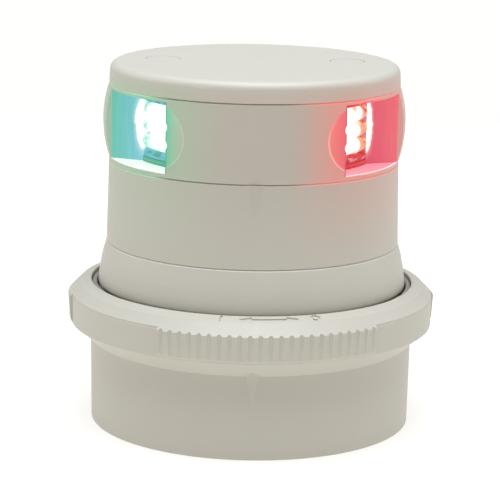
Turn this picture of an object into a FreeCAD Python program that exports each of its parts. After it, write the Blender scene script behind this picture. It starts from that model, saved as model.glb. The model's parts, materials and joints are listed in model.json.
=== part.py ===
import FreeCAD, Part
import math
import os

# Quick-release LED navigation light (port, starboard and stern sectors).
# Millimetres, +Z up. The origin is on the mounting surface, at the centre of
# the screw pattern. The bow is -Y, port (red) is +X and starboard (green) is -X.
# An azimuth of 0 degrees points at the bow and grows towards port.

# ---- base ------------------------------------------------------------------
BASE_R = 39.5
BASE_DRAFT = 0.25
BASE_WALL = 2.6
FLOOR_T = 3.0
BOTTOM_ROUND = 0.2
CONE_Z = 20.4
FLANGE_R = 43.35
FLANGE_TOP = 24.25
SEAT_R = 39.9
COLLAR_SEAT = 23.6
SCREW_PCD = 56.0
SCREW_COUNT = 4
SCREW_HOLE_R = 2.25
CABLE_R = 3.5
GROMMET_NECK_R = 6.0
GROMMET_FLANGE_R = 7.6
GROMMET_RECESS = 1.4
GROMMET_TOP = 4.6
GASKET_R = (33.2, 36.4)
GASKET_T = 1.0
BASE_MARK_TIP = 12.6
BASE_MARK_HALF = 2.4
BASE_MARK_RISE = 1.45

# ---- bayonet collar --------------------------------------------------------
COLLAR_IN = 37.95
COLLAR_OUT = 39.1
COLLAR_TOP = 34.1
COLLAR_RIM_Z = 31.6
FOOT_Z = 23.7
FOOT_T = 2.0
SLEEVE_R = 31.8
SLEEVE_OUT = 33.3
SLEEVE_Z = 17.5
WINDOW_START = 96.5
WINDOW_SPAN = 67.0
SLIT_AZ = 70.0
SLIT_W = 0.7
COLLAR_SCREW_R = 36.0
COLLAR_SCREW_AZ = 10.0
THIRD = 120.0

# ---- locking ring ----------------------------------------------------------
RING_R = 44.3
RING_IN = 39.36
RING_TOP = 34.8
RING_BOTTOM = 24.45
RING_EDGE = 0.25
SLOPE_R = 42.2
SLOPE_Z = 33.9
WALL_STEP = 0.08
WALL_STEP_Z = 31.15
RING_GROOVE_R = 40.6
GRIP_R = 45.03
GRIP_SPAN = 70.0
GRIP_GROOVES = 23
GRIP_PITCH = 3.05
GRIP_GROOVE_R = 0.55
GRIP_GROOVE_OUT = 0.1
RING_REST_AZ = 5.2
LOCK_TURN = 40.0
TOOTH_SPAN = 24.0
TOOTH_AZ = 30.0
TOOTH_IN = 35.6
TOOTH_Z = 29.1
TOOTH_T = 2.1
ENGRAVE = 0.3
LEGEND_R = 40.85

# ---- head: stacked shells --------------------------------------------------
HEAD_WALL = 2.2
SEAM_GAP = 0.06
SEAL_R = (33.6, 34.6)
SEAL_DEEP = 0.85
CAP_SEAL_DEEP = 0.3
SKIRT_R = 37.67
SKIRT_LOW = 33.4
SEAM_C = 44.71
SEAM_B = 64.64
SEAM_A = 83.36
CAP_TOP = 88.28
CAP_ROUND = 2.0
BODY_R_LOW = 35.7
BODY_R_HIGH = 35.23
EDGE_TOP = 0.3
EDGE_LOW = 0.08
MARK_HALF = 2.28
MARK_TIP = 56.4
SPIGOT_R = 35.2
SEAT_Z = 25.8
LUG_R = 37.7
LUG_Z = 26.8
LUG_T = 2.1
LUG_SPAN = 39.0
LUG_AZ = -4.5
PLUG_R = 31.5
PLUG_WALL = 3.4
HEAD_FLOOR_Z = 18.5
HEAD_FLOOR_T = 2.0
ORING_Z = 20.6
ORING_R = 0.95

# ---- light windows ---------------------------------------------------------
SIDE_AZ = 56.25
STERN_AZ = 180.0
SIDE_HALF = 56.25
STERN_HALF = 67.5
OPTIC_R = 28.9
OPTIC_HALF_AZ = 9.83
WINDOW_LOW = 65.7
WINDOW_HIGH = 82.4
HOOD_AZ = 68.5
HOOD_C = 23.54
HOOD_RADIAL = 12.88
HOOD_TANGENT = 23.67
HOOD_STERN_TANGENT = 22.2
HOOD_HEIGHT = 20.46
HOOD_Z = 74.15
POCKET_WALL = 1.6
COVER_OUT = 35.15
COVER_T = 1.5
LOBES = 3
LOBE_Z = 68.9
LOBE_PITCH = 3.8
PEDESTAL_TOP = 68.0

# ---- clamp screws, boards --------------------------------------------------
CLAMP_X = 22.4
CLAMP_Y = 3.5
CLAMP_R = 1.5
PLUG_DISC_R = 4.2
PLUG_DISC_T = 1.3
BOARD_Z = 50.0
BOARD_T = 1.6
SINK_Z = 62.2
SINK_T = 2.2

# ---- contacts --------------------------------------------------------------
CARRIER_R = 24.0
CARRIER_Z = 8.8
CARRIER_T = 2.5
TURRET_R = 13.0
TURRET_TOP = 16.2
PIN_TRACKS = (4.0, 7.5, 11.0)
PIN_TOP = 17.0
PIN_R = 0.9
PIN_COLLAR_R = 1.3
PIN_COLLAR_Z = 12.5
PIN_SEAT_Z = 9.3
POST_R = 20.0
TRACK_T = 0.15
DISC_R = 12.8

FULL = 360.0
TINY = 0.05

V = FreeCAD.Vector
UP = V(0, 0, 1)
ORIGIN = V(0, 0, 0)


# ---- helpers ---------------------------------------------------------------
def turned(shape, angle):
    copy = shape.copy()
    copy.rotate(ORIGIN, UP, angle)
    return copy


def moved(shape, x=0.0, y=0.0, z=0.0):
    copy = shape.copy()
    copy.translate(V(x, y, z))
    return copy


def polar(radius, azimuth, z=0.0):
    a = math.radians(azimuth)
    return V(radius * math.sin(a), -radius * math.cos(a), z)


def outline(steps):
    """Closed face in the bow half-plane from (radius, height) steps.
    A step of four numbers is an arc: through the first pair to the second."""
    def at(r, z):
        return V(0, -r, z)
    edges = []
    first = at(*steps[0][-2:])
    last = first
    for step in steps[1:]:
        end = at(*step[-2:])
        if len(step) == 4:
            edges.append(Part.Arc(last, at(*step[:2]), end).toShape())
        else:
            edges.append(Part.LineSegment(last, end).toShape())
        last = end
    edges.append(Part.LineSegment(last, first).toShape())
    return Part.Face(Part.Wire(edges))


def lathe(steps, start=0.0, span=FULL):
    return turned(outline(steps).revolve(ORIGIN, UP, span), start)


def tube(r_in, r_out, z0, z1, start=0.0, span=FULL):
    return lathe([(r_in, z0), (r_out, z0), (r_out, z1), (r_in, z1)], start, span)


def rod(radius, z0, z1, at=ORIGIN):
    return Part.makeCylinder(radius, z1 - z0, V(at.x, at.y, z0), UP)


def fused(shapes):
    whole = shapes[0]
    if len(shapes) > 1:
        whole = whole.multiFuse(shapes[1:])
    return whole.removeSplitter()


def thirds(shape, count=3):
    return [turned(shape, FULL / count * i) for i in range(count)]


def grouped(shapes):
    return Part.makeCompound(shapes)


def block(azimuth, u0, u1, half_width, z0, z1):
    """Box on the radius at an azimuth, from u0 to u1 outwards."""
    box = Part.makeBox(2 * half_width, u1 - u0, z1 - z0, V(-half_width, -u1, z0))
    return turned(box, azimuth)


def prism(plan, azimuth, z0, z1):
    """Upright prism from (outward, sideways) plan points at an azimuth."""
    points = [V(t, -u, z0) for u, t in plan]
    face = Part.Face(Part.makePolygon(points + points[:1]))
    return turned(face.extrude(V(0, 0, z1 - z0)), azimuth)


def ridge(half, r_flat, r_crest, z_top, r_tip, z_tip):
    """Raised arrow-head mark at the bow: a tapering V ridge, point downwards."""
    root = 1.2
    left = V(-half, -r_flat, z_top)
    right = V(half, -r_flat, z_top)
    crest = V(0, -r_crest, z_top)
    tip = V(0, -r_tip, z_tip)
    back = V(0, root - r_flat, z_top)
    back_tip = V(0, root - r_tip, z_tip)
    triangles = [
        (left, crest, back), (crest, right, back), (left, tip, crest), (crest, tip, right),
        (left, back, back_tip), (left, back_tip, tip), (right, tip, back_tip),
        (right, back_tip, back)]
    skins = [Part.Face(Part.makePolygon([a, b, c, a])) for a, b, c in triangles]
    return Part.Solid(Part.makeShell(skins))


# ---- base parts ------------------------------------------------------------
def base_cup():
    low_r = BASE_R - BASE_DRAFT
    inner = BASE_R - BASE_WALL
    bend = BOTTOM_ROUND * (1 - math.sqrt(0.5))
    body = lathe([
        (0, 0), (low_r - BOTTOM_ROUND, 0),
        (low_r - bend, bend, low_r, BOTTOM_ROUND),
        (BASE_R, CONE_Z), (FLANGE_R, FLANGE_TOP),
        (SEAT_R, FLANGE_TOP), (SEAT_R, COLLAR_SEAT), (inner, COLLAR_SEAT), (inner, FLOOR_T),
        (0, FLOOR_T)])
    mark = ridge(BASE_MARK_HALF, BASE_R - 0.35, BASE_R + BASE_MARK_RISE,
                 CONE_Z + BASE_MARK_RISE, BASE_R - 0.1, BASE_MARK_TIP)
    extra = [mark]
    for az in (COLLAR_SCREW_AZ + THIRD * i for i in range(3)):
        boss = rod(2.9, FLOOR_T - 1, COLLAR_SEAT, polar(COLLAR_SCREW_R, az))
        extra.append(boss.cut(rod(SLEEVE_OUT + 0.25, SLEEVE_Z - 0.3, COLLAR_SEAT + 1)))
    for az in (THIRD * i for i in range(3)):
        extra.append(rod(2.8, FLOOR_T - 1, CARRIER_Z - TINY, polar(POST_R, az)))
    body = fused([body] + extra)
    tools = [rod(GROMMET_NECK_R, -1, FLOOR_T + 1)]
    tools.append(rod(GROMMET_FLANGE_R + 0.6, -1, GROMMET_RECESS))
    tools.append(tube(GASKET_R[0] - 0.1, GASKET_R[1] + 0.1, -1, GASKET_T + TINY))
    for i in range(SCREW_COUNT):
        spot = polar(SCREW_PCD / 2, 45.0 + FULL / SCREW_COUNT * i)
        tools.append(rod(SCREW_HOLE_R, -1, FLOOR_T + 1, spot))
    for i in range(3):
        tools.append(rod(1.05, COLLAR_SEAT - 8, COLLAR_SEAT + 1,
                         polar(COLLAR_SCREW_R, COLLAR_SCREW_AZ + THIRD * i)))
        tools.append(rod(1.05, FLOOR_T + 0.5, CARRIER_Z + 1, polar(POST_R, THIRD * i)))
    return body.cut(Part.makeCompound(tools))


def base_gasket():
    return tube(GASKET_R[0], GASKET_R[1], 0, GASKET_T)


def cable_grommet():
    low = 0.2
    neck = GROMMET_NECK_R - TINY
    lip = GROMMET_FLANGE_R - 0.4
    return lathe([
        (CABLE_R, low), (GROMMET_FLANGE_R, low), (GROMMET_FLANGE_R, GROMMET_RECESS - TINY),
        (neck, GROMMET_RECESS - TINY), (neck, FLOOR_T + TINY), (lip, FLOOR_T + TINY),
        (lip, FLOOR_T + 0.9), (CABLE_R + 1.6, GROMMET_TOP), (CABLE_R, GROMMET_TOP)])


def base_collar():
    foot_top = FOOT_Z + FOOT_T
    foot = tube(SLEEVE_R, COLLAR_OUT, FOOT_Z, foot_top)
    sleeve = tube(SLEEVE_R, SLEEVE_OUT, SLEEVE_Z, FOOT_Z + 0.5)
    wall = lathe([
        (COLLAR_IN, foot_top - 0.5), (COLLAR_OUT, foot_top - 0.5),
        (COLLAR_OUT, COLLAR_TOP - 0.2), (COLLAR_OUT - 0.2, COLLAR_TOP),
        (COLLAR_IN + 0.2, COLLAR_TOP), (COLLAR_IN, COLLAR_TOP - 0.2)])
    body = fused([foot, sleeve, wall])
    window = tube(COLLAR_IN - 0.4, COLLAR_OUT + 1, foot_top, COLLAR_RIM_Z, WINDOW_START, WINDOW_SPAN)
    slit = block(SLIT_AZ, COLLAR_IN - 0.4, COLLAR_OUT + 1, SLIT_W / 2, COLLAR_TOP - 1.8, COLLAR_TOP + 1)
    key = block(0, SLEEVE_R - 1, SLEEVE_R + 0.9, 2.2, FOOT_Z - 1.0, foot_top + 1)
    tools = thirds(window) + thirds(slit) + [key]
    for i in range(3):
        spot = polar(COLLAR_SCREW_R, COLLAR_SCREW_AZ + THIRD * i)
        tools.append(rod(1.4, FOOT_Z - 1, foot_top + 1, spot))
        tools.append(Part.makeCone(1.4, 2.6, 1.2, V(spot.x, spot.y, foot_top - 1.2), UP))
    return body.cut(Part.makeCompound(tools))


def flat_screw(shank_r, head_r, z_top, length):
    """Countersunk screw pointing down, its head flush at z_top, with a cross slot."""
    head = 1.1
    body = lathe([(0, z_top - length), (shank_r * 0.5, z_top - length),
                  (shank_r, z_top - length + 0.8), (shank_r, z_top - head),
                  (head_r, z_top), (0, z_top)])
    slot = Part.makeBox(head_r * 1.3, 0.5, 0.6, V(-head_r * 0.65, -0.25, z_top - 0.6))
    return body.cut(grouped([slot, turned(slot, 90)]))


def collar_screws():
    one = flat_screw(1.0, 2.4, FOOT_Z + FOOT_T - TINY, 8.0)
    spots = [polar(COLLAR_SCREW_R, COLLAR_SCREW_AZ + THIRD * i) for i in range(3)]
    return grouped([moved(one, p.x, p.y) for p in spots])


def detent_spring():
    """Bowed leaf between the collar and the ring, centred on a collar leg."""
    half = 3.6
    low = COLLAR_OUT + 0.12
    crest = RING_GROOVE_R - 0.12
    t = 0.3
    y = low * math.cos(math.asin(half / low))
    outer = Part.Arc(V(-half, -(y + t), 0), V(0, -crest, 0), V(half, -(y + t), 0)).toShape()
    inner = Part.Arc(V(half, -y, 0), V(0, -(crest - t), 0), V(-half, -y, 0)).toShape()
    ends = [Part.LineSegment(V(half, -(y + t), 0), V(half, -y, 0)).toShape()]
    ends.append(Part.LineSegment(V(-half, -y, 0), V(-half, -(y + t), 0)).toShape())
    face = Part.Face(Part.Wire([outer, ends[0], inner, ends[1]]))
    return turned(moved(face.extrude(V(0, 0, 3.6)), z=26.6), SLIT_AZ)


def contact_carrier():
    plate_top = CARRIER_Z + CARRIER_T
    body = fused([rod(CARRIER_R, CARRIER_Z, plate_top), rod(TURRET_R, CARRIER_Z, TURRET_TOP)])
    tools = []
    for i, track in enumerate(PIN_TRACKS):
        spot = polar(track, THIRD * i)
        tools.append(rod(PIN_COLLAR_R + 0.08, PIN_SEAT_Z, PIN_COLLAR_Z + 1.1, spot))
        tools.append(rod(PIN_R + 0.07, PIN_SEAT_Z, TURRET_TOP + 1, spot))
        post = polar(POST_R, THIRD * i)
        tools.append(rod(1.4, CARRIER_Z - 1, plate_top + 1, post))
        tools.append(Part.makeCone(1.4, 2.6, 1.2, V(post.x, post.y, plate_top - 1.2), UP))
        tools.append(block(THIRD * i + 30, CARRIER_R - 4, CARRIER_R + 1, 3.0, CARRIER_Z - 1, plate_top + 1))
    return body.cut(Part.makeCompound(tools))


def carrier_screws():
    one = flat_screw(1.0, 2.4, CARRIER_Z + CARRIER_T - TINY, 7.0)
    spots = [polar(POST_R, THIRD * i) for i in range(3)]
    return grouped([moved(one, p.x, p.y) for p in spots])


def cable_terminals():
    z0 = CARRIER_Z + CARRIER_T + TINY
    body = block(60, 15.6, 21.6, 3.4, z0, z0 + 4.2)
    wire = Part.makeCylinder(1.5, 10, V(0, -25, z0 + 1.9), V(0, 1, 0))
    screw = rod(1.45, z0 + 2.5, z0 + 6, polar(18.6, 0))
    one = body.cut(turned(grouped([wire, screw]), 60))
    return grouped(thirds(one))


def terminal_screws():
    z0 = CARRIER_Z + CARRIER_T + 3.0
    head = z0 + 1.9
    one = fused([rod(1.35, z0, z0 + 1.6, polar(18.6, 60)), rod(1.9, z0 + 1.3, head, polar(18.6, 60))])
    slot = turned(Part.makeBox(4, 0.5, 0.5, V(-2, -18.85, head - 0.5)), 60)
    return grouped(thirds(one.cut(slot)))


def contact_pin(index):
    spot = polar(PIN_TRACKS[index], THIRD * index)
    shaft = lathe([(0, PIN_COLLAR_Z), (PIN_COLLAR_R, PIN_COLLAR_Z), (PIN_COLLAR_R, PIN_COLLAR_Z + 1),
                   (PIN_R, PIN_COLLAR_Z + 1), (PIN_R, PIN_TOP - 0.5),
                   (PIN_R - 0.2, PIN_TOP - 0.15), (PIN_R - 0.5, PIN_TOP), (0, PIN_TOP)])
    return moved(shaft, spot.x, spot.y)


def contact_spring(index):
    spot = polar(PIN_TRACKS[index], THIRD * index)
    wire = 0.14
    mean = 1.02
    low = PIN_SEAT_Z + wire + TINY
    height = PIN_COLLAR_Z - wire - TINY - low
    helix = Part.makeHelix(height / 4.0, height, mean)
    corners = [V(mean + wire * math.cos(math.radians(60 * i + 30)), 0,
                 wire * math.sin(math.radians(60 * i + 30))) for i in range(6)]
    section = Part.makePolygon(corners + corners[:1])
    coil = Part.Wire(helix.Edges).makePipeShell([section], True, True)
    return moved(coil, spot.x, spot.y, low)


# ---- ring ------------------------------------------------------------------
def ring_legend():
    """Engraved I, double-headed arrow and O on the sloping top of the ring."""
    deep = 5.0
    z = RING_TOP - deep / 2
    stroke = 0.3
    tall = 1.15
    bar = block(-15.7, LEGEND_R - tall, LEGEND_R + tall, stroke, z, z + deep)
    spot = polar(LEGEND_R, 15.4)
    circle = rod(tall, z, z + deep, spot).cut(rod(tall - 2 * stroke, z, z + deep, spot))
    shaft = tube(LEGEND_R - stroke, LEGEND_R + stroke, z, z + deep, -7.0, 14.0)
    point = [(LEGEND_R, 0.0), (LEGEND_R + tall, 3.0), (LEGEND_R - tall, 3.0)]
    left = prism(point, -10.0, z, z + deep)
    right = prism([(u, -t) for u, t in point], 10.0, z, z + deep)
    inner = RING_IN - 0.2
    skin = lathe([(inner, RING_TOP + 0.3), (SLOPE_R, SLOPE_Z + 0.3),
                  (SLOPE_R, SLOPE_Z - ENGRAVE), (inner, RING_TOP - ENGRAVE + 0.06)])
    arrow = fused([shaft, left, right])
    return grouped([bar, circle, arrow]).common(skin)


def locking_ring():
    low = RING_BOTTOM
    wall = RING_R + WALL_STEP
    edge_z = SLOPE_Z - (RING_R - SLOPE_R)
    grip_top = SLOPE_Z - (GRIP_R - SLOPE_R)
    body = lathe([
        (RING_IN, RING_TOP - 0.15), (RING_IN + 0.15, RING_TOP), (SLOPE_R, SLOPE_Z),
        (RING_R, edge_z), (RING_R, WALL_STEP_Z + WALL_STEP), (wall, WALL_STEP_Z),
        (RING_R, low + RING_EDGE), (RING_R - 0.06, low + 0.06, RING_R - RING_EDGE, low), (RING_IN, low),
        (RING_IN, low + 0.8), (RING_GROOVE_R, low + 0.8), (RING_GROOVE_R, COLLAR_RIM_Z),
        (RING_IN, COLLAR_RIM_Z)])
    grip = lathe([
        (SLOPE_R, SLOPE_Z), (GRIP_R, grip_top), (GRIP_R - 0.3, low + 1.8),
        (GRIP_R - 0.4, low + 0.8, RING_R, low + 0.3), (SLOPE_R, low + 0.3)],
        RING_REST_AZ - GRIP_SPAN / 2, GRIP_SPAN)
    tooth = tube(TOOTH_IN, RING_GROOVE_R + 0.5, TOOTH_Z, TOOTH_Z + TOOTH_T,
                 TOOTH_AZ - TOOTH_SPAN / 2, TOOTH_SPAN)
    body = fused([body] + thirds(grip) + thirds(tooth))
    cutters = []
    first = RING_REST_AZ - GRIP_PITCH * (GRIP_GROOVES - 1) / 2
    for i in range(GRIP_GROOVES):
        spot = polar(GRIP_R + GRIP_GROOVE_OUT, first + GRIP_PITCH * i)
        cutters += thirds(rod(GRIP_GROOVE_R, low - 1, RING_TOP + 1, spot))
    for step in (0.0, LOCK_TURN):
        cutters.append(rod(0.9, low + 1.6, TOOTH_Z + 2, polar(RING_GROOVE_R - 0.2, SLIT_AZ + step)))
    cutters.append(turned(ring_legend(), RING_REST_AZ))
    return body.cut(Part.makeCompound(cutters))


# ---- head shells -----------------------------------------------------------
def clamp_spots():
    return [V(-CLAMP_X, CLAMP_Y, 0), V(CLAMP_X, CLAMP_Y, 0)]


def seal(z_top, deep):
    return tube(SEAL_R[0], SEAL_R[1], z_top - deep, z_top + 2 * SEAM_GAP)


def seal_groove(z_top, deep):
    return tube(SEAL_R[0] - TINY, SEAL_R[1] + TINY, z_top - deep - TINY, z_top + 1)


def head_skirt():
    top = SEAM_C - SEAM_GAP
    inner_top = BODY_R_LOW - HEAD_WALL
    body = lathe([
        (0, HEAD_FLOOR_Z), (PLUG_R - 0.6, HEAD_FLOOR_Z), (PLUG_R, HEAD_FLOOR_Z + 0.6),
        (PLUG_R, SEAT_Z), (SPIGOT_R, SEAT_Z), (SPIGOT_R, SKIRT_LOW), (SKIRT_R - 1.2, SKIRT_LOW),
        (SKIRT_R - 0.35, SKIRT_LOW + 0.35, SKIRT_R, SKIRT_LOW + 1.2),
        (37.3, 37.6, 37.0, 39.45), (36.45, 42.0, BODY_R_LOW + 0.05, top - EDGE_TOP),
        (BODY_R_LOW + 0.05 - EDGE_TOP, top), (inner_top, top), (inner_top, 41.0), (33.0, 36.0),
        (33.0, SEAT_Z + 2.2), (PLUG_R - PLUG_WALL, SEAT_Z + 1.0),
        (PLUG_R - PLUG_WALL, HEAD_FLOOR_Z + HEAD_FLOOR_T), (0, HEAD_FLOOR_Z + HEAD_FLOOR_T)])
    lug = tube(SPIGOT_R - 0.5, LUG_R, LUG_Z, LUG_Z + LUG_T, LUG_AZ - LUG_SPAN / 2, LUG_SPAN)
    key = block(0, PLUG_R - 1, SLEEVE_R + 0.7, 2.0, FOOT_Z - 0.6, SEAT_Z + 0.5)
    posts = [rod(3.4, HEAD_FLOOR_Z + 1, BOARD_Z - TINY, p) for p in clamp_spots()]
    body = fused([body] + thirds(lug) + [key] + posts)
    tools = [seal_groove(top, SEAL_DEEP), tube(PLUG_R - 1.75, PLUG_R + 1, ORING_Z - 1.1, ORING_Z + 1.1)]
    tools += [rod(CLAMP_R + TINY, 31.0, BOARD_Z + 1, p) for p in clamp_spots()]
    for i, track in enumerate(PIN_TRACKS):
        tools.append(rod(0.95, HEAD_FLOOR_Z - 1, 25, polar(track, THIRD * i + 60)))
    return body.cut(Part.makeCompound(tools))


def head_oring():
    middle = SLEEVE_R - TINY - ORING_R
    circle = Part.makeCircle(ORING_R, V(0, -middle, ORING_Z), V(1, 0, 0))
    return Part.Face(Part.Wire(circle)).revolve(ORIGIN, UP, FULL)


def mid_body():
    low = SEAM_C + SEAM_GAP
    top = SEAM_B - SEAM_GAP
    inner = BODY_R_HIGH - HEAD_WALL
    body = lathe([
        (inner, low), (BODY_R_LOW - EDGE_LOW, low), (BODY_R_LOW, low + EDGE_LOW),
        (BODY_R_HIGH, top - EDGE_TOP), (BODY_R_HIGH - EDGE_TOP, top), (inner, top)])
    mark = ridge(MARK_HALF, BODY_R_HIGH - 0.25, BODY_R_HIGH + 0.75, top, BODY_R_HIGH + 0.12, MARK_TIP)
    body = fused([body, mark])
    return body.cut(seal_groove(top, SEAL_DEEP))


def pocket_plan(half_sector, grow=0.0):
    """Half-open plan of a light pocket: parallel behind the optic, then
    spreading along the cut-off directions of its sector."""
    slope = math.tan(math.radians(half_sector))
    u_edge = OPTIC_R * math.cos(math.radians(OPTIC_HALF_AZ))
    w_edge = OPTIC_R * math.sin(math.radians(OPTIC_HALF_AZ))
    shift = grow / math.cos(math.radians(half_sector))
    u_knee = u_edge - (shift - grow) / slope
    u_far = 44.0
    w_far = w_edge + shift + (u_far - u_edge) * slope
    w = w_edge + grow
    back = 25.0
    return [(back, -w), (u_knee, -w), (u_far, -w_far), (u_far, w_far), (u_knee, w), (back, w)]


def sectors():
    return {"port": (SIDE_AZ, SIDE_HALF), "starboard": (-SIDE_AZ, SIDE_HALF),
            "stern": (STERN_AZ, STERN_HALF)}


def hoods():
    return [hood(HOOD_AZ, HOOD_TANGENT), hood(-HOOD_AZ, HOOD_TANGENT),
            hood(STERN_AZ, HOOD_STERN_TANGENT)]


def hood(azimuth, tangent):
    """Egg-shaped swelling of the band round a window, set aft of a side window's middle."""
    ball = Part.makeSphere(1.0)
    m = FreeCAD.Matrix()
    m.scale(tangent, HOOD_RADIAL, HOOD_HEIGHT)
    egg = ball.transformGeometry(m)
    return turned(moved(egg, y=-HOOD_C, z=HOOD_Z), azimuth)


def lens_band():
    low = SEAM_B + SEAM_GAP
    top = SEAM_A - SEAM_GAP
    r_out = BODY_R_HIGH
    inner = r_out - HEAD_WALL
    core = lathe([
        (0, low), (r_out - EDGE_LOW, low), (r_out, low + EDGE_LOW), (r_out, top - EDGE_TOP),
        (r_out - EDGE_TOP, top), (0, top)])
    slab = rod(r_out + 6, low, top)
    outside = fused([core] + [egg.common(slab) for egg in hoods()])
    housings = [prism(pocket_plan(half, POCKET_WALL), az, low, top)
                for az, half in sectors().values()]
    kept = fused([tube(inner, r_out + 6, low, top)] + housings)
    body = outside.common(kept)
    voids = [prism(pocket_plan(half), az, WINDOW_LOW, WINDOW_HIGH)
             for az, half in sectors().values()]
    return body.cut(Part.makeCompound(voids + [seal_groove(top, CAP_SEAL_DEEP)]))


def window_cover(name):
    az, half = sectors()[name]
    pane = tube(COVER_OUT - COVER_T, COVER_OUT, WINDOW_LOW + TINY, WINDOW_HIGH - TINY)
    return pane.common(prism(pocket_plan(half, -TINY), az, WINDOW_LOW, WINDOW_HIGH))


def optic_lens(name):
    az = sectors()[name][0]
    foot_r = OPTIC_R - 1.1
    steps = [(foot_r - 0.5, LOBE_Z), (foot_r, LOBE_Z)]
    for i in range(LOBES):
        z = LOBE_Z + LOBE_PITCH * i
        steps.append((OPTIC_R + 0.35, z + LOBE_PITCH / 2, foot_r, z + LOBE_PITCH))
    steps.append((foot_r - 0.5, LOBE_Z + LOBE_PITCH * LOBES))
    half = OPTIC_HALF_AZ - 0.35
    return lathe(steps, az - half, 2 * half)


def optic_holder(name):
    """Lens holder: a back block, a two-step pedestal below the lens and a brow above."""
    az = sectors()[name][0]
    width = OPTIC_R * math.sin(math.radians(OPTIC_HALF_AZ)) - 0.1
    lens_top = LOBE_Z + LOBE_PITCH * LOBES
    half = OPTIC_HALF_AZ - 0.25
    front = OPTIC_R - 1.65
    ceiling = WINDOW_HIGH - TINY
    back = block(az, 25.6, front, width, WINDOW_LOW + TINY, ceiling)
    slot = block(az, 25.0, OPTIC_R, 2.7, LOBE_Z, lens_top)
    pedestal = lathe([
        (front - 0.5, WINDOW_LOW + TINY), (OPTIC_R + 0.25, WINDOW_LOW + TINY),
        (OPTIC_R + 0.25, PEDESTAL_TOP - 1.0), (OPTIC_R, PEDESTAL_TOP - 1.0),
        (OPTIC_R, PEDESTAL_TOP), (OPTIC_R - 1.0, LOBE_Z - TINY), (front - 0.5, LOBE_Z - TINY)],
        az - half, 2 * half)
    brow = tube(front - 0.5, OPTIC_R - 0.1, lens_top + TINY, ceiling, az - half, 2 * half)
    body = fused([back, pedestal, brow])
    return body.cut(grouped([slot, optic_lens(name)]))


def led_board(name):
    az = sectors()[name][0]
    return block(az, 23.7, 24.9, 4.3, 66.6, 82.4)


def led_chips(name):
    az = sectors()[name][0]
    chips = []
    for i in range(LOBES):
        z = LOBE_Z + LOBE_PITCH * (i + 0.5)
        chips.append(block(az, 24.95, 25.75, 1.25, z - 1.25, z + 1.25))
    return grouped(chips)


def top_cap():
    low = SEAM_A + SEAM_GAP
    r_low = BODY_R_HIGH + 0.01
    r_top = r_low - 0.14
    bend = CAP_ROUND * (1 - math.sqrt(0.5))
    inner = BODY_R_HIGH - HEAD_WALL
    ceiling = CAP_TOP - 2.2
    body = lathe([
        (0, ceiling), (inner - 1.0, ceiling), (inner, ceiling - 1.0), (inner, low),
        (r_low - EDGE_LOW, low), (r_low, low + EDGE_LOW), (r_top, CAP_TOP - CAP_ROUND),
        (r_top - bend, CAP_TOP - bend, r_top - CAP_ROUND, CAP_TOP), (0, CAP_TOP)])
    posts = [rod(3.3, SINK_Z + SINK_T + TINY, CAP_TOP - 1, p) for p in clamp_spots()]
    pads = [rod(5.4, ceiling - 2.2, CAP_TOP - 1, p) for p in clamp_spots()]
    body = fused([body] + posts + pads)
    tools = []
    for p in clamp_spots():
        tools.append(rod(PLUG_DISC_R + 0.08, CAP_TOP - PLUG_DISC_T - TINY, CAP_TOP + 1, p))
        tools.append(rod(3.0, CAP_TOP - 3.9, CAP_TOP, p))
        tools.append(rod(CLAMP_R + 0.15, SINK_Z, CAP_TOP, p))
    return body.cut(Part.makeCompound(tools))


def cap_plugs():
    z0 = CAP_TOP - PLUG_DISC_T
    one = lathe([(0, z0), (PLUG_DISC_R, z0), (PLUG_DISC_R, CAP_TOP - 0.15),
                 (PLUG_DISC_R - 0.15, CAP_TOP), (0, CAP_TOP)])
    return grouped([moved(one, p.x, p.y) for p in clamp_spots()])


def clamp_screws():
    seat = CAP_TOP - 3.85
    one = lathe([(0, 32.0), (0.8, 32.0), (CLAMP_R, 33.2), (CLAMP_R, seat), (2.8, seat),
                 (2.8, seat + 2.0), (2.4, seat + 2.4), (0, seat + 2.4)])
    slot = Part.makeBox(4.4, 0.7, 1.3, V(-2.2, -0.35, seat + 1.2))
    one = one.cut(grouped([slot, turned(slot, 90)]))
    return grouped([moved(one, p.x, p.y) for p in clamp_spots()])


# ---- head internals --------------------------------------------------------
def contact_disc():
    z0 = HEAD_FLOOR_Z - 1.25
    disc = rod(DISC_R, z0, HEAD_FLOOR_Z - TINY)
    holes = [rod(0.75, z0 - 1, HEAD_FLOOR_Z + 1, polar(t, THIRD * i + 60))
             for i, t in enumerate(PIN_TRACKS)]
    return disc.cut(Part.makeCompound(holes))


def contact_rings():
    top = HEAD_FLOOR_Z - 1.25 - 0.01
    return grouped([tube(track - 1.2, track + 1.2, top - TRACK_T, top) for track in PIN_TRACKS])


def feed_wires():
    wires = []
    for i, track in enumerate(PIN_TRACKS):
        wires.append(rod(0.65, HEAD_FLOOR_Z - 1.2, BOARD_Z - TINY, polar(track, THIRD * i + 60)))
    return grouped(wires)


def clamp_holes(z0, z1):
    return [rod(CLAMP_R + 0.2, z0 - 1, z1 + 1, p) for p in clamp_spots()]


def driver_board():
    board = rod(28.0, BOARD_Z, BOARD_Z + BOARD_T)
    return board.cut(Part.makeCompound(clamp_holes(BOARD_Z, BOARD_Z + BOARD_T)))


def driver_parts():
    """Capacitors, the choke and the regulator on top of the driver board."""
    z0 = BOARD_Z + BOARD_T + TINY
    cans = [rod(3.2, z0, z0 + 8.0, polar(14.0, az)) for az in (20.0, 55.0)]
    choke = Part.makeBox(9, 9, 5, V(-14, 2, z0))
    chip = Part.makeBox(6, 5, 1.6, V(5, 6, z0))
    return grouped(cans + [choke, chip])


def board_spacers():
    z0 = BOARD_Z + BOARD_T + TINY
    z1 = SINK_Z - TINY
    one = tube(CLAMP_R + 0.2, 3.0, z0, z1)
    return grouped([moved(one, p.x, p.y) for p in clamp_spots()])


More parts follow.
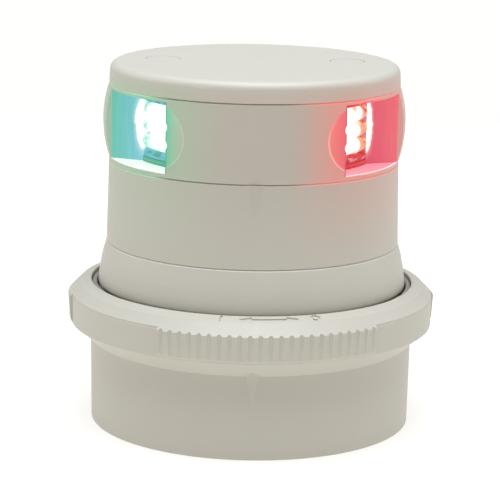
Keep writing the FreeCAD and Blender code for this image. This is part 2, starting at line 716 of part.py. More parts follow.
def heat_sink():
    foot = rod(31.0, SINK_Z, SINK_Z + SINK_T)
    arms = [block(az, 0, 23.6, 4.2, SINK_Z + SINK_T - 0.5, 82.0) for az, _ in sectors().values()]
    fins = []
    for az, _ in sectors().values():
        fins += [block(az, u, u + 1.2, 8.0, SINK_Z + SINK_T - 0.5, 80.0) for u in (9.0, 13.0, 17.0)]
    body = fused([foot] + arms + fins)
    tools = clamp_holes(SINK_Z, SINK_Z + SINK_T)
    tools += [rod(3.7, SINK_Z + SINK_T, 90, p) for p in clamp_spots()]
    return body.cut(Part.makeCompound(tools))


# ---- all nodes -------------------------------------------------------------
def nodes():
    made = {
        "base_cup": base_cup(),
        "base_gasket": base_gasket(),
        "cable_grommet": cable_grommet(),
        "base_collar": base_collar(),
        "collar_screws": collar_screws(),
        "detent_spring": detent_spring(),
        "contact_carrier": contact_carrier(),
        "carrier_screws": carrier_screws(),
        "cable_terminals": cable_terminals(),
        "terminal_screws": terminal_screws(),
        "locking_ring": locking_ring(),
        "head_skirt": head_skirt(),
        "head_oring": head_oring(),
        "mid_body": mid_body(),
        "lens_band": lens_band(),
        "top_cap": top_cap(),
        "cap_plugs": cap_plugs(),
        "clamp_screws": clamp_screws(),
        "skirt_seal": seal(SEAM_C - SEAM_GAP, SEAL_DEEP),
        "band_seal": seal(SEAM_B - SEAM_GAP, SEAL_DEEP),
        "cap_seal": seal(SEAM_A - SEAM_GAP, CAP_SEAL_DEEP),
        "contact_disc": contact_disc(),
        "contact_rings": contact_rings(),
        "feed_wires": feed_wires(),
        "driver_board": driver_board(),
        "driver_parts": driver_parts(),
        "board_spacers": board_spacers(),
        "heat_sink": heat_sink(),
    }
    for i in range(len(PIN_TRACKS)):
        made["contact_pin_%d" % (i + 1)] = contact_pin(i)
        made["contact_spring_%d" % (i + 1)] = contact_spring(i)
    for side in sectors():
        made[side + "_cover"] = window_cover(side)
        made[side + "_lens"] = optic_lens(side)
        made[side + "_holder"] = optic_holder(side)
        made[side + "_led_board"] = led_board(side)
        made[side + "_leds"] = led_chips(side)
    return made


os.makedirs("parts", exist_ok=True)
for name, shape in nodes().items():
    shape.exportStep("parts/%s.step" % name)
    print("%-20s solids %d valid %s volume %.1f" % (
        name, len(shape.Solids), shape.isValid(), shape.Volume))
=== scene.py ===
import json
import math

import bpy
from mathutils import Matrix, Vector


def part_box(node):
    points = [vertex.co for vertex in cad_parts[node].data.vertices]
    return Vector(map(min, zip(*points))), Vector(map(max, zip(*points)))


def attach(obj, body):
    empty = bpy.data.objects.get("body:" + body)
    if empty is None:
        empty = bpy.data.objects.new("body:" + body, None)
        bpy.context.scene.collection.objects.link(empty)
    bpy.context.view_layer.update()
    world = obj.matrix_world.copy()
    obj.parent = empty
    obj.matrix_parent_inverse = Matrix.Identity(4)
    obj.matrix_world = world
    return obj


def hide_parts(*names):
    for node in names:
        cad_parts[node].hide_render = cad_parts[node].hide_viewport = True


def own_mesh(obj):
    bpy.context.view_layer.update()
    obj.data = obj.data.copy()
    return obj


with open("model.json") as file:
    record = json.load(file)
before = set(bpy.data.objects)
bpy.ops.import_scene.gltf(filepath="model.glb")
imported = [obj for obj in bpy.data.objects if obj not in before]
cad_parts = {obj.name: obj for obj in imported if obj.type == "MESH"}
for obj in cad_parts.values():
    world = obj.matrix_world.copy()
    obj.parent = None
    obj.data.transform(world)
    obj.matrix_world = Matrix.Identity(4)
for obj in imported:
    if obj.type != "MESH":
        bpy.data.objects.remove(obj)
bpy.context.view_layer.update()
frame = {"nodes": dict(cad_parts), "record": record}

MM = 0.001


def direction(azimuth):
    """Unit vector away from the axis: 0 degrees is the bow (-Y), 90 is port (+X)."""
    a = math.radians(azimuth)
    return Vector((math.sin(a), -math.cos(a), 0.0))


def tone(r, g, b):
    """Linear colour from everyday 0-255 values."""
    def linear(c):
        c /= 255.0
        return c / 12.92 if c <= 0.04045 else ((c + 0.055) / 1.055) ** 2.4
    return (linear(r), linear(g), linear(b), 1.0)


def scaled(colour, level):
    return (*[c * level for c in colour[:3]], 1.0)


# ---- places, in millimetres ----------------------------------------------------
def span_z(node):
    low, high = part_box(node)
    return low[2] / MM, high[2] / MM


BAND_LOW, BAND_HIGH = span_z("lens_band")
WINDOW_LOW, WINDOW_HIGH = span_z("port_cover")
LENS_LOW, LENS_HIGH = span_z("port_lens")
MID_LOW = span_z("mid_body")[0]
BODY_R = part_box("top_cap")[1][0] / MM
# A cover stands this far inside its pocket.
COVER_GAP = 0.05
# Azimuth of each window's middle, and half of its light's spread, in degrees.
SECTORS = {"port": (56.25, 56.25), "starboard": (-56.25, 56.25), "stern": (180.0, 67.5)}
# Where a pocket's walls start to spread: this far out, and this far to each side.
OPTIC_U = 28.476
OPTIC_W = 4.934

# ---- camera -------------------------------------------------------------------
AIM = Vector((0.0, 0.0, 41.67 * MM))
CAMERA_DISTANCE = 566.4 * MM
CAMERA_AZIMUTH = -0.9
CAMERA_ELEVATION = 12.5
CAMERA_ROLL = 1.081
CAMERA_LENS = 165.73
CAMERA_SENSOR = 36.0
CAMERA_SHIFT = -0.00395
CAMERA_CLIP = 0.01


def make_camera():
    e = math.radians(CAMERA_ELEVATION)
    place = AIM + CAMERA_DISTANCE * (direction(CAMERA_AZIMUTH) * math.cos(e)
                                     + Vector((0, 0, math.sin(e))))
    camera = bpy.data.objects.new("camera", bpy.data.cameras.new("camera"))
    bpy.context.collection.objects.link(camera)
    camera.location = place
    aim = (AIM - place).to_track_quat("-Z", "Y").to_matrix()
    roll = Matrix.Rotation(math.radians(CAMERA_ROLL), 3, "Z")
    camera.rotation_euler = (aim @ roll).to_euler()
    camera.data.lens = CAMERA_LENS
    camera.data.sensor_width = CAMERA_SENSOR
    camera.data.shift_x = CAMERA_SHIFT
    camera.data.clip_start = CAMERA_CLIP
    bpy.context.scene.camera = camera


# ---- stage: pale floor, soft light -------------------------------------------
FLOOR_HALF = 0.45
FLOOR_COLOUR = (0.26, 0.255, 0.245, 1)
FLOOR_ROUGH = 0.9
FLOOR_GLOW = (1.0, 0.98, 0.95, 1)
FLOOR_GLOW_STRENGTH = 0.78
SKY = (0.25, 0.245, 0.23)
GROUND = (1.02, 1.01, 0.99)
# The ground's light turns into the sky's between these heights of the view direction.
HORIZON_LOW, HORIZON_HIGH = -0.04, 0.06
# Name, place (m), width (m), power (W) and colour of each soft light.
LIGHTS = (
    ("top_soft", (0.0, -0.13, 1.3), 1.2, 24.0, (0.87, 0.91, 1.0)),
    ("left_soft", (-1.3, 0.35, 0.5), 0.8, 2.0, (1.0, 1.0, 1.0)),
    ("right_soft", (1.3, 0.35, 0.5), 0.8, 2.0, (1.0, 1.0, 1.0)),
)


def area_light(name, place, size, power, colour):
    light = bpy.data.lights.new(name, "AREA")
    light.shape = "DISK"
    light.size = size
    light.energy = power
    light.color = colour
    obj = bpy.data.objects.new(name, light)
    bpy.context.collection.objects.link(obj)
    obj.location = place
    obj.rotation_euler = (AIM - Vector(place)).to_track_quat("-Z", "Y").to_euler()


def make_world():
    """White studio: a bright ground all round, a softer sky above the horizon."""
    world = bpy.data.worlds.new("studio")
    world.use_nodes = True
    tree = world.node_tree
    coords = tree.nodes.new("ShaderNodeTexCoord")
    split = tree.nodes.new("ShaderNodeSeparateXYZ")
    ramp = tree.nodes.new("ShaderNodeValToRGB")
    spread = tree.nodes.new("ShaderNodeMapRange")
    tree.links.new(coords.outputs["Generated"], split.inputs[0])
    tree.links.new(split.outputs["Z"], spread.inputs["Value"])
    spread.inputs["From Min"].default_value = HORIZON_LOW
    spread.inputs["From Max"].default_value = HORIZON_HIGH
    tree.links.new(spread.outputs["Result"], ramp.inputs["Fac"])
    ramp.color_ramp.elements[0].color = (*GROUND, 1.0)
    ramp.color_ramp.elements[1].color = (*SKY, 1.0)
    tree.links.new(ramp.outputs["Color"], tree.nodes["Background"].inputs["Color"])
    bpy.context.scene.world = world
    bpy.context.scene.view_settings.view_transform = "Standard"


def make_floor():
    mesh = bpy.data.meshes.new("floor")
    h = FLOOR_HALF
    mesh.from_pydata([(-h, -h, 0), (h, -h, 0), (h, h, 0), (-h, h, 0)], [], [(0, 1, 2, 3)])
    floor = bpy.data.objects.new("floor", mesh)
    bpy.context.collection.objects.link(floor)
    pale = bpy.data.materials.new("pale_floor")
    pale.use_nodes = True
    shader = pale.node_tree.nodes["Principled BSDF"]
    shader.inputs["Base Color"].default_value = FLOOR_COLOUR
    shader.inputs["Roughness"].default_value = FLOOR_ROUGH
    shader.inputs["Emission Color"].default_value = FLOOR_GLOW
    shader.inputs["Emission Strength"].default_value = FLOOR_GLOW_STRENGTH
    mesh.materials.append(pale)


make_camera()
make_world()
make_floor()
for light in LIGHTS:
    area_light(*light)


# ---- writing materials -----------------------------------------------------------
class Nodes:
    """A small helper to write a material's node tree as plain calls."""

    def __init__(self, name):
        self.material = bpy.data.materials.new(name)
        self.material.use_nodes = True
        self.tree = self.material.node_tree
        self.shader = self.tree.nodes["Principled BSDF"]
        self.coords = self.tree.nodes.new("ShaderNodeTexCoord").outputs["Object"]
        self.mm = self.vector("SCALE", self.coords, None, 1 / MM)

    def add(self, kind, **settings):
        node = self.tree.nodes.new(kind)
        for key, value in settings.items():
            setattr(node, key, value)
        return node

    def put(self, socket, value):
        if isinstance(value, bpy.types.NodeSocket):
            self.tree.links.new(value, socket)
        else:
            socket.default_value = value

    def set(self, **values):
        """Shader sockets by name, spaces written as underscores."""
        for key, value in values.items():
            self.put(self.shader.inputs[key.replace("_", " ")], value)

    def vector(self, kind, a, b, scale=None):
        node = self.add("ShaderNodeVectorMath", operation=kind)
        self.put(node.inputs[0], a)
        if b is not None:
            self.put(node.inputs[1], b)
        if scale is not None:
            self.put(node.inputs["Scale"], scale)
        return node.outputs["Value" if kind in ("DOT_PRODUCT", "LENGTH") else "Vector"]

    def dot(self, x, y, z):
        return self.vector("DOT_PRODUCT", self.mm, (x, y, z))

    def height(self):
        return self.dot(0, 0, 1)

    def radius(self):
        return self.vector("LENGTH", self.vector("MULTIPLY", self.mm, (1, 1, 0)), None)

    def math(self, kind, *values):
        node = self.add("ShaderNodeMath", operation=kind)
        for socket, value in zip(node.inputs, values):
            self.put(socket, value)
        return node.outputs[0]

    def times(self, first, *others):
        for other in others:
            first = self.math("MULTIPLY", first, other)
        return first

    def noise(self, scale, detail, stretch=None):
        """Noise in the part's own space; stretch scales the three axes apart."""
        node = self.add("ShaderNodeTexNoise")
        place = self.coords
        if stretch is not None:
            place = self.vector("MULTIPLY", place, stretch)
        self.put(node.inputs["Vector"], place)
        node.inputs["Scale"].default_value = scale
        node.inputs["Detail"].default_value = detail
        return node.outputs["Fac"]

    def mix(self, factor, a, b):
        node = self.add("ShaderNodeMix", data_type="RGBA")
        self.put(node.inputs[0], factor)
        self.put(node.inputs[6], a)
        self.put(node.inputs[7], b)
        return node.outputs[2]

    def span(self, value, low, high, to_low=0.0, to_high=1.0):
        """The value's place between low and high, clamped, 0 to 1 unless told otherwise."""
        node = self.add("ShaderNodeMapRange")
        for key, number in (("Value", value), ("From Min", low), ("From Max", high),
                            ("To Min", to_low), ("To Max", to_high)):
            self.put(node.inputs[key], number)
        return node.outputs["Result"]

    def within(self, value, start, full, full_end, end):
        """1 from full to full_end, falling to 0 at start and end."""
        return self.times(self.span(value, start, full), self.span(value, end, full_end))

    def patches(self, noise, *to):
        """The middle of a noise's range stretched over a wider one."""
        return self.span(noise, 0.3, 0.7, *to)

    def bump(self, height, distance):
        node = self.add("ShaderNodeBump")
        self.put(node.inputs["Height"], height)
        node.inputs["Distance"].default_value = distance
        self.set(Normal=node.outputs["Normal"])


# ---- plain materials -------------------------------------------------------------
WHITE = (0.59, 0.565, 0.485, 1.0)
BLACK = (0.0, 0.0, 0.0, 1.0)
SATIN = (0.42, 0.52)
MOTTLE_SCALE, MOTTLE_DEPTH = 90.0, 0.965
POLISH_SCALE = 700.0
GRAIN_SCALE, GRAIN_HEIGHT = 2600.0, 0.02 * MM
METAL_TONE_SCALE, METAL_DEPTH = 400.0, 0.85
METAL_GRAIN_SCALE, METAL_GRAIN_HEIGHT = 900.0, 0.01 * MM
LED_SCALE, LED_DEPTH, LED_STRENGTH = 500.0, 0.9, 4.0
HAZE_SCALE = 160.0


def grain(m, rough):
    """Fine moulded grain and an uneven polish."""
    m.set(Roughness=m.patches(m.noise(POLISH_SCALE, 3.0), *rough))
    m.bump(m.noise(GRAIN_SCALE, 3.0), GRAIN_HEIGHT)


def mottled(m, colour):
    return m.mix(m.noise(MOTTLE_SCALE, 4.0), colour, scaled(colour, MOTTLE_DEPTH))


def moulded(name, colour, rough=SATIN):
    """Moulded plastic: faint flow mottling, fine grain, uneven polish."""
    m = Nodes(name)
    m.set(Base_Color=mottled(m, colour))
    grain(m, rough)
    return m.material


def metal(name, colour, rough=(0.22, 0.4)):
    m = Nodes(name)
    shades = m.mix(m.noise(METAL_TONE_SCALE, 4.0), colour, scaled(colour, METAL_DEPTH))
    m.set(Base_Color=shades, Metallic=1.0,
          Roughness=m.patches(m.noise(METAL_GRAIN_SCALE, 4.0), *rough))
    m.bump(m.noise(METAL_GRAIN_SCALE * 2, 2.0), METAL_GRAIN_HEIGHT)
    return m.material


def lit(name, colour):
    """An emitter that is on."""
    m = Nodes(name)
    glow = m.mix(m.noise(LED_SCALE, 2.0), colour, scaled(colour, LED_DEPTH))
    m.set(Base_Color=glow, Emission_Color=glow, Emission_Strength=LED_STRENGTH)
    return m.material


def clear(name):
    """Thin clear window: almost nothing shows but a soft gloss."""
    m = Nodes(name)
    haze = m.noise(HAZE_SCALE, 3.0)
    m.set(Base_Color=m.mix(haze, (0.9, 0.93, 0.93, 1), (0.8, 0.84, 0.84, 1)),
          Alpha=m.patches(haze, 0.02, 0.04), Roughness=0.06)
    return m.material


# ---- the windows' light on the plastic around them ---------------------------------
# Colours, in painted light from the lit window: "near" and "far" are a pocket's wall by
# the lens and at the rim, "floor" its floor, "rim" the soft edge of the lens's painted
# reflection in the wall; "border" is the dark lines beside that image and along the fore
# rim. "hood" and "arc" are the hood's lit skin by the window and at its far edge, "tint"
# the light on the shells around it, "seam" the lit seam lines.
# Numbers: "fade" is how much of the skin's colour is left at the arc, "line" the strength
# of the painted highlight there, "halo" that of the glow on the shell beyond, "start" where
# the seams begin to light up, measured aft from the window's middle (mm, so negative is
# ahead of it), "mirror" the mirror image's half width (mm) and "joint" its border's strength.
GLOW = {
    "port": {
        "near": tone(224, 62, 96), "far": tone(234, 92, 104), "floor": tone(236, 150, 166),
        "rim": tone(250, 180, 150), "border": tone(190, 36, 66),
        "hood": tone(230, 84, 98), "arc": tone(240, 116, 106),
        "tint": tone(236, 150, 138), "seam": tone(236, 100, 105),
        "fade": 0.92, "line": 0.30, "halo": 0.62, "start": -26.0, "mirror": 1.55, "joint": 0.85},
    "starboard": {
        "near": tone(112, 196, 214), "far": tone(92, 190, 166), "floor": tone(238, 246, 236),
        "rim": tone(225, 240, 228), "border": tone(60, 160, 135),
        "hood": tone(92, 190, 150), "arc": tone(170, 200, 165),
        "tint": tone(165, 200, 160), "seam": tone(120, 205, 168),
        "fade": 0.12, "line": 0.10, "halo": 0.20, "start": -13.0, "mirror": 2.1, "joint": 0.15},
    "stern": {
        "near": tone(246, 242, 232), "far": tone(226, 222, 212), "floor": tone(246, 244, 238),
        "rim": tone(250, 248, 240), "border": tone(205, 200, 188),
        "hood": tone(226, 220, 206), "arc": tone(220, 215, 200),
        "tint": tone(215, 210, 196), "seam": tone(232, 228, 215),
        "fade": 0.5, "line": 0.10, "halo": 0.2, "start": -26.0, "mirror": 1.55, "joint": 0.4},
}
# The burnt-out white middle of the lens's painted reflection in a pocket wall.
REFLECTION_WHITE = (1.3, 1.3, 1.25, 1)
SPILL = (1.2, 1.2, 1.15, 1)
LENS_WHITE = (1.25, 1.23, 1.15, 1.0)
# Painted highlights: along the hood's arc, on a pocket floor's outer lip, and on the skirt's top
# edge.
ARC_HIGHLIGHT = tone(255, 228, 224)
FLOOR_LIP_HIGHLIGHT = tone(255, 232, 232)
SKIRT_LIP_HIGHLIGHT = tone(248, 246, 240)

# Painted shade: warmer, dimmer colour round the bow, on the shells and on the cap above them.
BOW_SHADE_AZIMUTH, BOW_SHADE = 14.0, 0.17
BOW_SHADE_SHELL, BOW_SHADE_CAP = tone(150, 106, 82), tone(205, 146, 124)
TINT, BAND_TINT = 0.34, 0.34 * 1.3
# Shares of a colour that shine by themselves.
SKIN_SHINE, HALO_SHINE, WALL_SHINE = 0.27, 0.12, 0.16
SEAM_SHINE_SHELL, SEAM_SHINE_BAND = 0.34, 0.32
WALL_TONE = 0.75
# The hood's skin from the window's edge to its arc, and the halo from there, in mm.
SKIN_START, SKIN_END = 0.4, 4.4
HALO_START, HALO_END = 3.2, 13.0
SKIN_AFT, SKIN_FORE = 0.10, 0.76
STERN_FORE = 0.35
SEAM_RAMP = 5
# The mirror image's height above the lens's middle, its half height and raggedness, in mm.
MIRROR_RISE, MIRROR_HALF, MIRROR_RAGGED = 0.4, 6.0, 0.2
# The lens's light over the fore rim: its three bulges' pitch, their middle, and how far
# they reach, in mm.
SPILL_PITCH, SPILL_MIDDLE = 4.2, 72.6
SPILL_LEAST, SPILL_MOST = 0.05, 0.42
BORDER = 0.55
# Surfaces closer to the axis than this (mm) are behind the pockets.
POCKET_BACK = 20.0
# Cosine of the angle from a window's middle, from no effect to its full effect.
NEAR_START, NEAR_FULL = 0.62, 0.80
SEAM_START, SEAM_FULL = 0.62, 0.85
TINT_START, TINT_FULL = 0.70, 0.97
BOW_SHADE_START, BOW_SHADE_FULL = 0.55, 0.95


class Sector:
    """Distances in one light sector, as node outputs in millimetres."""

    def __init__(self, m, side):
        azimuth, half = SECTORS[side]
        self.m = m
        self.side = side
        self.colours = GLOW[side]
        self.z = m.height()
        self.r = m.radius()
        h = math.radians(half)
        out = direction(azimuth)
        self.out = m.dot(*out)
        self.aside = m.math("ABSOLUTE", m.dot(-out.y, out.x, 0))
        edge = OPTIC_W * math.cos(h) - OPTIC_U * math.sin(h)
        across = m.math("MULTIPLY_ADD", self.aside, -math.cos(h), edge)
        self.inward = m.math("MULTIPLY_ADD", self.out, math.sin(h), across)
        self.outside = m.math("MULTIPLY", self.inward, -1.0)
        self.along = m.math("MULTIPLY", m.math("SUBTRACT", self.out, OPTIC_U), 1 / math.cos(h))
        self.toward = m.math("DIVIDE", self.out, self.r)
        turn = -1.0 if side == "starboard" else 1.0
        self.aft = m.dot(-out.y * turn, out.x * turn, 0)
        self.near = m.span(self.toward, NEAR_START, NEAR_FULL)

    def pocket(self):
        """1 on the pocket's own walls, floor and ceiling."""
        m = self.m
        low, high = WINDOW_LOW - COVER_GAP, WINDOW_HIGH + COVER_GAP
        plan = m.math("MAXIMUM", m.span(self.inward, -0.12, -0.03),
                      m.span(self.aside, OPTIC_W + 0.12, OPTIC_W + 0.03))
        return m.times(plan, m.span(self.out, POCKET_BACK, POCKET_BACK + 1),
                       m.within(self.z, low - 0.12, low - 0.04, high + 0.04, high + 0.12))

    def seam_weight(self):
        """1 where a seam near the window is lit."""
        start = self.colours["start"]
        return self.m.times(self.m.span(self.toward, SEAM_START, SEAM_FULL),
                            self.m.span(self.aft, start, start + SEAM_RAMP))


def shell_tint(m, base, strength):
    """The lit windows' faint colour on the white shells around them, and painted shade round the
    bow.
    """
    z = m.height()
    near = m.within(z, WINDOW_LOW - 22, WINDOW_LOW + 2, BAND_HIGH + 1.5, BAND_HIGH + 4.4)
    # Painted shade: warmer, dimmer colour towards the bow.
    bow = m.math("DIVIDE", m.dot(*direction(BOW_SHADE_AZIMUTH)), m.radius())
    bow_shade = m.mix(m.span(z, BAND_HIGH - 0.2, BAND_HIGH + 0.1), BOW_SHADE_SHELL, BOW_SHADE_CAP)
    base = m.mix(m.times(near, m.span(bow, BOW_SHADE_START, BOW_SHADE_FULL), BOW_SHADE), base, bow_shade)
    for side in ("port", "starboard"):
        s = Sector(m, side)
        weight = m.times(near, m.span(s.toward, TINT_START, TINT_FULL), strength)
        base = m.mix(weight, base, s.colours["tint"])
    return base


def shell(name):
    """The white shells: the windows' light near them, painted shade round the bow, lit edges at
    the band's seams, and a painted highlight on the skirt's top edge.
    """
    m = Nodes(name)
    z = m.height()
    # Painted highlight on the skirt's top edge, just under the mid body.
    lip_highlight = m.within(z, MID_LOW - 0.5, MID_LOW - 0.35, MID_LOW - 0.1, MID_LOW - 0.02)
    base = shell_tint(m, mottled(m, WHITE), TINT)
    base = m.mix(m.times(lip_highlight, 0.55), base, SKIRT_LIP_HIGHLIGHT)
    glow = BLACK
    edge = m.math("MAXIMUM",
                  m.within(z, BAND_LOW - 0.55, BAND_LOW - 0.4, BAND_LOW, BAND_LOW + 1),
                  m.within(z, BAND_HIGH - 1, BAND_HIGH, BAND_HIGH + 0.18, BAND_HIGH + 0.25))
    for side in SECTORS:
        s = Sector(m, side)
        weight = m.times(edge, s.seam_weight(), SEAM_SHINE_SHELL)
        glow = m.mix(weight, glow, s.colours["seam"])
    m.set(Base_Color=base, Emission_Color=glow, Emission_Strength=1.0)
    grain(m, SATIN)
    return m.material


def hood_light(s, base, glow):
    """The hood's skin lit from inside, a painted highlight at its arc, and the glow around it.
    """
    m, colours = s.m, s.colours
    raised = m.span(s.r, BODY_R + 0.015, BODY_R + 0.07)
    fore = STERN_FORE if s.side == "stern" else m.span(s.aft, 6.0, -6.0)
    strength = m.math("ADD", m.math("MULTIPLY", fore, SKIN_FORE), SKIN_AFT)
    fade = m.span(s.outside, SKIN_END, SKIN_START, colours["fade"], 1.0)
    skin = m.times(raised, s.near, strength, fade)
    hue = m.mix(m.span(s.outside, SKIN_START, SKIN_END), colours["hood"], colours["arc"])
    base = m.mix(skin, base, hue)
    glow = m.mix(m.times(skin, SKIN_SHINE), glow, hue)

    spread = m.span(s.outside, HALO_END, HALO_START)
    plain = m.math("SUBTRACT", 1.0, raised)
    halo = m.times(spread, spread, s.near, plain, fore, colours["halo"])
    base = m.mix(halo, base, colours["tint"])
    glow = m.mix(m.times(halo, HALO_SHINE), glow, colours["hood"])

    # Painted highlight along the lower part of the hood's arc.
    arc = m.times(raised, m.span(s.r, BODY_R + 0.22, BODY_R + 0.10),
                  m.span(s.z, WINDOW_HIGH - 2, WINDOW_HIGH - 9))
    glow = m.mix(m.times(arc, s.near, fore, colours["line"]), glow, ARC_HIGHLIGHT)

    edges = m.math("MAXIMUM", m.span(s.z, BAND_HIGH - 0.32, BAND_HIGH - 0.24),
                   m.span(s.z, BAND_LOW + 0.14, BAND_LOW + 0.06))
    glow = m.mix(m.times(edges, s.seam_weight(), SEAM_SHINE_BAND), glow, colours["seam"])
    return base, glow


def mirror_image(s):
    """Distance from the middle of the lens's painted reflection in the wall: 1 at its edge."""
    m = s.m
    ragged = m.patches(m.noise(900.0, 2.0, (0.02, 0.02, 1.0)), -MIRROR_RAGGED, MIRROR_RAGGED)
    across = m.math("DIVIDE", m.math("ADD", s.along, ragged), s.colours["mirror"])
    middle = (LENS_LOW + LENS_HIGH) / 2 + MIRROR_RISE
    up = m.math("DIVIDE", m.math("SUBTRACT", s.z, middle), MIRROR_HALF)
    return m.math("SQRT", m.math("ADD", m.math("MULTIPLY", across, across),
                                 m.math("MULTIPLY", up, up)))


def pocket_light(s, base, glow):
    """The pocket's walls and floor in the lens's painted light, a painted highlight on the
    floor's lip and a painted reflection of the lens in the walls.
    """
    m, colours = s.m, s.colours
    streak = m.patches(m.noise(2100.0, 2.0, (1.0, 1.0, 0.03)), 0.90, 1.06)
    wall = m.mix(m.span(s.along, 0.5, 8.5), colours["near"], colours["far"])
    wall = m.vector("SCALE", wall, None, streak)

    bottom = WINDOW_LOW - COVER_GAP
    floor = m.span(s.z, bottom + 0.10, bottom + 0.02)
    not_floor = m.math("SUBTRACT", 1.0, floor)
    wall = m.mix(floor, wall, colours["floor"])
    # Painted highlight on the floor's outer lip.
    wall = m.mix(m.times(floor, m.span(s.r, BODY_R - 0.7, BODY_R - 0.3)), wall, FLOOR_LIP_HIGHLIGHT)

    # Painted reflection of the lens in the wall: a soft rim and a burnt-out middle.
    image = mirror_image(s)
    wall = m.mix(m.times(m.span(image, 1.5, 1.0), not_floor, 0.5), wall, colours["rim"])
    wall = m.mix(m.times(m.span(image, 1.15, 0.95), not_floor), wall, REFLECTION_WHITE)
    joint = m.times(m.span(s.along, 0.22, 0.05), not_floor, colours["joint"])
    wall = m.mix(joint, wall, colours["border"])

    beyond = m.span(s.r, BODY_R - 0.04, BODY_R + 0.10)
    inner = m.times(s.pocket(), m.math("SUBTRACT", 1.0, m.times(beyond, 0.85)))
    base = m.mix(inner, base, m.mix(WALL_TONE, wall, BLACK))
    glow = m.mix(inner, glow, m.mix(WALL_SHINE, wall, BLACK))
    return base, glow


def fore_rim(s, base, glow):
    """A side window's fore rim: a dark border, and the lens's light spilling over it."""
    m = s.m
    turns = m.math("MULTIPLY", m.math("SUBTRACT", s.z, SPILL_MIDDLE), math.tau / SPILL_PITCH)
    bulges = m.span(m.math("COSINE", turns), 0.0, 1.0, SPILL_LEAST, SPILL_MOST)
    reach = m.math("MAXIMUM", bulges, SPILL_LEAST)
    fore = m.times(s.near, m.span(s.aft, 0.0, -1.0))
    spill = m.times(m.span(s.outside, reach, m.math("SUBTRACT", reach, 0.08)),
                    m.span(s.r, BODY_R - 1.2, BODY_R - 1.0), m.span(s.outside, -0.1, 0.0),
                    m.within(s.z, LENS_LOW + 0.3, LENS_LOW + 0.9,
                             LENS_HIGH - 0.7, LENS_HIGH - 0.1), fore)
    border = m.times(m.within(s.outside, -0.06, 0.0, 0.16, 0.32),
                     m.span(s.r, BODY_R - 2.0, BODY_R - 1.8),
                     m.within(s.z, WINDOW_LOW - 0.3, WINDOW_LOW,
                              WINDOW_HIGH - 0.1, WINDOW_HIGH + 0.2), fore, BORDER)
    base = m.mix(border, base, s.colours["border"])
    glow = m.mix(border, glow, BLACK)
    glow = m.mix(spill, glow, SPILL)
    return base, glow


def band():
    """The lens band: white shell, lit pockets, glowing hoods and seam edges."""
    m = Nodes("band_plastic")
    base = shell_tint(m, mottled(m, WHITE), BAND_TINT)
    glow = BLACK
    for side in SECTORS:
        s = Sector(m, side)
        base, glow = hood_light(s, base, glow)
        base, glow = pocket_light(s, base, glow)
        if side != "stern":
            base, glow = fore_rim(s, base, glow)
    m.set(Base_Color=base, Emission_Color=glow, Emission_Strength=1.0)
    grain(m, SATIN)
    return m.material


# ---- the optics ------------------------------------------------------------------
# How far below the lens a holder's foot ends and its bevel starts, in mm.
HOLDER_STEP = 1.9
FACET_SCALE, STREAK_SCALE, LENS_WAVE_SCALE = 330.0, 520.0, 260.0
LENS_WAVE = 0.15 * MM
HOLDER_STREAK_SCALE, HOLDER_WAVE_SCALE = 620.0, 800.0
HOLDER_WAVE = 0.03 * MM
# How much of the lit colour also answers to outside light.
OPTIC_TONE = 0.7


def lens(side, shade, deep, amount, low_only):
    """Lit lens: burnt-out white, coloured facets to the aft side and at both ends. low_only
    is how far the aft side's colour keeps to the lens's lower end, 0 to 1."""
    m = Nodes(side + "_lens")
    s = Sector(m, side)
    facets = m.noise(FACET_SCALE, 1.0, (1.0, 1.0, 0.55))
    slant = m.math("ADD", s.aft, m.patches(facets, -1.7, 1.7))
    lower = m.span(s.z, LENS_HIGH, LENS_LOW + 3, 1 - low_only, 1)
    aft_side = m.times(m.span(slant, 0.6, 2.2), lower)
    ends = m.math("MAXIMUM", m.span(s.z, LENS_HIGH - 2.6, LENS_HIGH - 0.4),
                  m.span(s.z, LENS_LOW + 1.8, LENS_LOW + 0.3))
    ends = m.times(ends, m.span(facets, 0.42, 0.58), m.span(s.aft, -3.5, -0.5))
    weight = m.math("MAXIMUM", aft_side, ends)
    colour = m.mix(m.times(weight, amount), LENS_WHITE, shade)
    streak = m.span(m.noise(STREAK_SCALE, 1.0), 0.42, 0.56)
    colour = m.mix(m.times(m.span(s.aft, 2.0, 3.4), streak, amount), colour, deep)
    m.set(Base_Color=m.mix(OPTIC_TONE, colour, BLACK), Emission_Color=colour,
          Emission_Strength=0.95, Roughness=0.08)
    m.bump(m.noise(LENS_WAVE_SCALE, 1.0), LENS_WAVE)
    return m.material


def holder(name, upper, lower, streak_and_glint_colour, line):
    """Coloured lens holder, lit through: a bevel with streaks over a plainer foot, dark joints.
    The streaks are painted highlights on the red and grey holders and darker streaks on the
    green.
    """
    m = Nodes(name)
    z = m.height()
    step = LENS_LOW - HOLDER_STEP
    colour = m.mix(m.span(z, step - 0.05, step + 0.1), lower, upper)
    # Streaks on the bevel: a painted highlight on the red and grey holders, a darker streak on
    # the green.
    streak = m.noise(HOLDER_STREAK_SCALE, 1.0, (0.5, 0.5, 1.4))
    streak_and_glint = m.times(m.span(streak, 0.52, 0.60), m.span(z, step, step + 0.2), 0.8)
    colour = m.mix(streak_and_glint, colour, streak_and_glint_colour)
    joint = m.math("ABSOLUTE", m.math("SUBTRACT", z, step))
    foot = m.math("ABSOLUTE", m.math("SUBTRACT", z, WINDOW_LOW + 0.2))
    edge = m.math("MINIMUM", joint, foot)
    colour = m.mix(m.times(m.span(edge, 0.11, 0.06), 0.8), colour, line)
    m.set(Base_Color=m.mix(OPTIC_TONE, colour, BLACK), Emission_Color=colour,
          Emission_Strength=0.72, Roughness=0.18, Specular_IOR_Level=0.15)
    m.bump(m.noise(HOLDER_WAVE_SCALE, 2.0), HOLDER_WAVE)
    return m.material


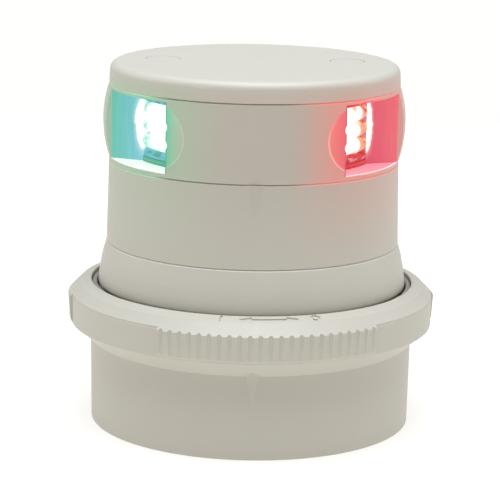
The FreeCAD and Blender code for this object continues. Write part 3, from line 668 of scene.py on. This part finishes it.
# ---- what each part is made of -----------------------------------------------------
LOOKS = {
    "white_plastic": shell("white_plastic"),
    # Painted shade: this grey stands for the white collar's shaded top, recessed in the gap
    # between the ring and the head's skirt.
    "grey_plastic": moulded("grey_plastic", tone(150, 147, 138)),
    "black_rubber": moulded("black_rubber", (0.03, 0.03, 0.03, 1), (0.6, 0.75)),
    "black_plastic": moulded("black_plastic", (0.035, 0.035, 0.04, 1)),
    "steel": metal("steel", (0.62, 0.62, 0.60, 1)),
    "brass": metal("brass", (0.76, 0.58, 0.26, 1)),
    "copper_wire": metal("copper_wire", (0.80, 0.45, 0.28, 1)),
    "aluminium": metal("aluminium", (0.78, 0.79, 0.80, 1), (0.35, 0.5)),
    "circuit_board": moulded("circuit_board", (0.03, 0.20, 0.09, 1), (0.25, 0.35)),
    "component": moulded("component", (0.05, 0.05, 0.06, 1), (0.3, 0.4)),
    "clear_cover": clear("clear_cover"),
    "red_holder": holder("red_holder", tone(218, 20, 44), tone(236, 36, 46),
                         tone(246, 160, 168), tone(120, 8, 26)),
    "green_holder": holder("green_holder", tone(100, 192, 204), tone(72, 182, 144),
                           tone(60, 160, 125), tone(36, 128, 112)),
    "grey_holder": holder("grey_holder", tone(190, 188, 180), tone(215, 212, 205),
                          tone(240, 238, 232), tone(120, 118, 112)),
    "red_led": lit("red_led", (1.0, 0.25, 0.2, 1)),
    "green_led": lit("green_led", (0.4, 1.0, 0.85, 1)),
    "white_led": lit("white_led", (1.0, 0.96, 0.88, 1)),
}
OWN_LOOKS = {
    "lens_band": band(),
    "locking_ring": moulded("ring_plastic", WHITE),
    "port_lens": lens("port", tone(246, 150, 96), tone(196, 44, 40), 0.95, 0.0),
    "starboard_lens": lens("starboard", tone(150, 215, 195), tone(70, 175, 150), 0.7, 0.9),
    "stern_lens": lens("stern", tone(225, 222, 210), tone(190, 186, 172), 0.8, 0.0),
}

slots = {s["node"]: s["material_slot"] for s in frame["record"]["subparts"]}
for node, obj in frame["nodes"].items():
    obj.data.materials.clear()
    obj.data.materials.append(OWN_LOOKS.get(node) or LOOKS[slots[node]])
    obj.data.shade_smooth()


def pressed_coil(index):
    """A contact spring's mesh copied onto an object of its own under the base, in place of the
    CAD's one.
    """
    node = "contact_spring_%d" % index
    coil = bpy.data.objects.new("pressed_coil_%d" % index, frame["nodes"][node].data.copy())
    bpy.context.collection.objects.link(coil)
    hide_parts(node)
    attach(coil, "base")
    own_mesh(coil)


for index in (1, 2, 3):
    pressed_coil(index)
